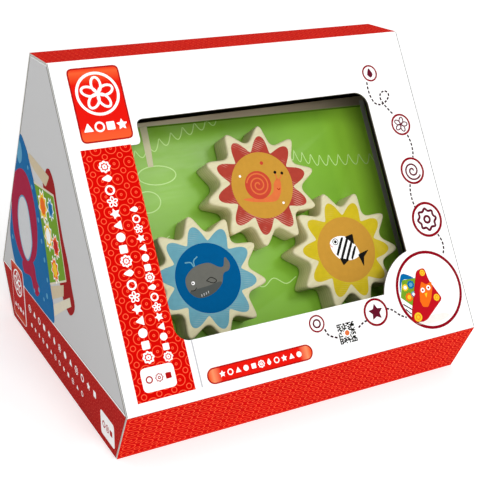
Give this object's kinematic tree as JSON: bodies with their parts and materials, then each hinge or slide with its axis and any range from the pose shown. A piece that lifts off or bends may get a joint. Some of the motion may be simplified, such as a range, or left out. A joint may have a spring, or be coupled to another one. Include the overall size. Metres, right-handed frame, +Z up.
{
  "type": "gear activity box",
  "caption": "Wooden triangle-ended activity toy with a slanted board of turning gears, standing in its six-sided card display carton with a cut-out window.",
  "frame": {"origin": "middle of the carton's underside, on the surface it stands on", "axes": "+X to the right along the carton, +Y to the back, +Z up; the window and gears face -Y"},
  "size_m": [0.24, 0.242, 0.209],
  "materials": {
    "card_white": "coated, satin",
    "card_red": "coated, satin",
    "card_grey": "uncoated, matt",
    "blue_wood": "water-based paint, satin",
    "red_wood": "water-based paint, satin",
    "green_wood": "printed and varnished",
    "plain_wood": "clear varnish",
    "gear_wood": "clear varnish with a printed face",
    "crimson_wood": "water-based paint, satin",
    "mirror": "polished",
    "orange_wood": "water-based paint, satin",
    "white_wood": "water-based paint, satin",
    "pale_blue_wood": "water-based paint, satin",
    "yellow_wood": "water-based paint, satin",
    "steel": "zinc plated"
  },
  "bodies": {
    "box": {"carton_front": "card_white", "carton_top": "card_red", "carton_back": "card_white", "carton_band_front": "card_red", "carton_band_back": "card_red", "carton_bottom": "card_white", "carton_glue_flap": "card_grey", "carton_dust_flap_front_left": "card_white", "carton_dust_flap_back_left": "card_white", "carton_dust_flap_front_right": "card_white", "carton_dust_flap_back_right": "card_white", "toy_end_left": "blue_wood", "toy_end_right": "red_wood", "toy_base_board": "plain_wood", "toy_handle": "plain_wood", "gear_board": "green_wood", "back_board": "green_wood", "mirror_ring": "crimson_wood", "mirror_disc": "mirror", "figure_plate": "orange_wood", "figure_disc_front": "white_wood", "figure_disc_back": "white_wood", "cap_left_top": "pale_blue_wood", "cap_left_front": "pale_blue_wood", "cap_left_back": "pale_blue_wood", "cap_right_top": "yellow_wood", "cap_right_front": "yellow_wood", "cap_right_back": "yellow_wood", "screw_handle_left": "steel", "screw_base_left_front": "steel", "screw_base_left_back": "steel", "screw_handle_right": "steel", "screw_base_right_front": "steel", "screw_base_right_back": "steel"},
    "end_flap_left": {"carton_end_left": "card_white", "carton_tuck_tab_left": "card_white"},
    "end_flap_right": {"carton_end_right": "card_white", "carton_tuck_tab_right": "card_white"},
    "red_gear": {"gear_red": "gear_wood", "axle_peg_red": "plain_wood", "axle_washer_red": "steel", "axle_screw_red": "steel"},
    "blue_gear": {"gear_blue": "gear_wood", "axle_peg_blue": "plain_wood", "axle_washer_blue": "steel", "axle_screw_blue": "steel"},
    "yellow_gear": {"gear_yellow": "gear_wood", "axle_peg_yellow": "plain_wood", "axle_washer_yellow": "steel", "axle_screw_yellow": "steel"}
  },
  "joints": [
    {"name": "red_gear_turn", "type": "hinge", "parent": "box", "child": "red_gear", "pos_m": [0.0024, -0.03987, 0.12384], "axis": [0, -0.8535, 0.521], "continuous": true},
    {"name": "blue_gear_turn", "type": "hinge", "parent": "box", "child": "blue_gear", "pos_m": [-0.04766, -0.06563, 0.08163], "axis": [0, -0.8535, 0.521], "continuous": true},
    {"name": "yellow_gear_turn", "type": "hinge", "parent": "box", "child": "yellow_gear", "pos_m": [0.05002, -0.06565, 0.08161], "axis": [0, -0.8535, 0.521], "continuous": true},
    {"name": "left_end_fold", "type": "hinge", "parent": "box", "child": "end_flap_left", "pos_m": [-0.12, 0, 0], "axis": [0, -1, 0], "range_deg": [0, 90]},
    {"name": "right_end_fold", "type": "hinge", "parent": "box", "child": "end_flap_right", "pos_m": [0.12, 0, 0], "axis": [0, 1, 0], "range_deg": [0, 90]}
  ],
  "couplings": [
    {"joint": "blue_gear_turn", "follows": "red_gear_turn", "ratio": -1},
    {"joint": "yellow_gear_turn", "follows": "red_gear_turn", "ratio": -1}
  ]
}
